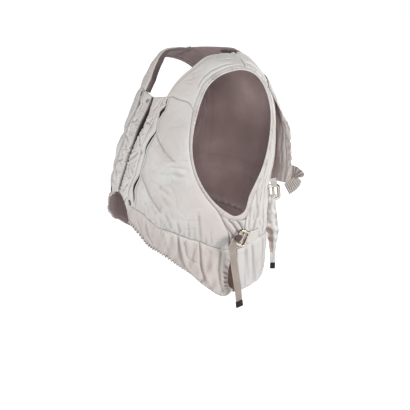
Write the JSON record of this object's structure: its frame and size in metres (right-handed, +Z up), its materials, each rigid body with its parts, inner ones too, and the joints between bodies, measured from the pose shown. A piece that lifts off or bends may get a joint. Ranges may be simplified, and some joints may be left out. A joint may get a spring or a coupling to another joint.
{
  "type": "sleeveless jacket",
  "caption": "Cropped padded sleeveless jacket with quilted fronts, gathered plackets, bound armholes, a loose back flap and buckled side straps.",
  "frame": {"origin": "middle of the shoulder line, where the jacket rests on its wearer", "axes": "+Z up, -Y the way the wearer faces, +X the wearer's left"},
  "size_m": [0.3544, 0.3284, 0.4644],
  "materials": {
    "padded_shell": "pale stone nylon, padded, soft sheen",
    "thin_shell": "pale stone nylon outside, mauve-brown inside, crumpled",
    "rib": "elastic rib, matt",
    "webbing": "taupe woven webbing",
    "zip_tape": "dark brown zip tape",
    "buckle_metal": "pale gold plated, polished",
    "strap_tip": "black moulded",
    "label": "plain dark woven label"
  },
  "bodies": {
    "root": {"front_panel_left": "padded_shell", "front_panel_right": "padded_shell", "hem_panel_left": "padded_shell", "hem_panel_right": "padded_shell", "placket_left": "padded_shell", "placket_right": "padded_shell", "pocket_band_left": "padded_shell", "pocket_band_right": "padded_shell", "yoke_left": "padded_shell", "yoke_right": "padded_shell", "underarm_panel_left": "padded_shell", "underarm_panel_right": "padded_shell", "armhole_binding_left": "padded_shell", "armhole_binding_right": "padded_shell", "back_waist_panel": "padded_shell", "buckle_tab_left": "thin_shell", "buckle_tab_right": "thin_shell", "back_tab_left": "thin_shell", "back_tab_right": "thin_shell", "back_strap_left": "thin_shell", "back_strap_right": "thin_shell", "back_panel": "thin_shell", "back_flap": "thin_shell", "flap_band": "rib", "side_strap_left": "webbing", "side_strap_right": "webbing", "pocket_zip_left": "zip_tape", "pocket_zip_right": "zip_tape", "front_zip": "zip_tape", "side_buckle_left": "buckle_metal", "side_buckle_right": "buckle_metal", "back_buckle_left": "buckle_metal", "back_buckle_right": "buckle_metal", "placket_snap": "buckle_metal", "side_strap_tip_left": "strap_tip", "side_strap_tip_right": "strap_tip", "back_strap_tip_left": "strap_tip", "back_strap_tip_right": "strap_tip", "neck_label": "label"}
  },
  "joints": []
}
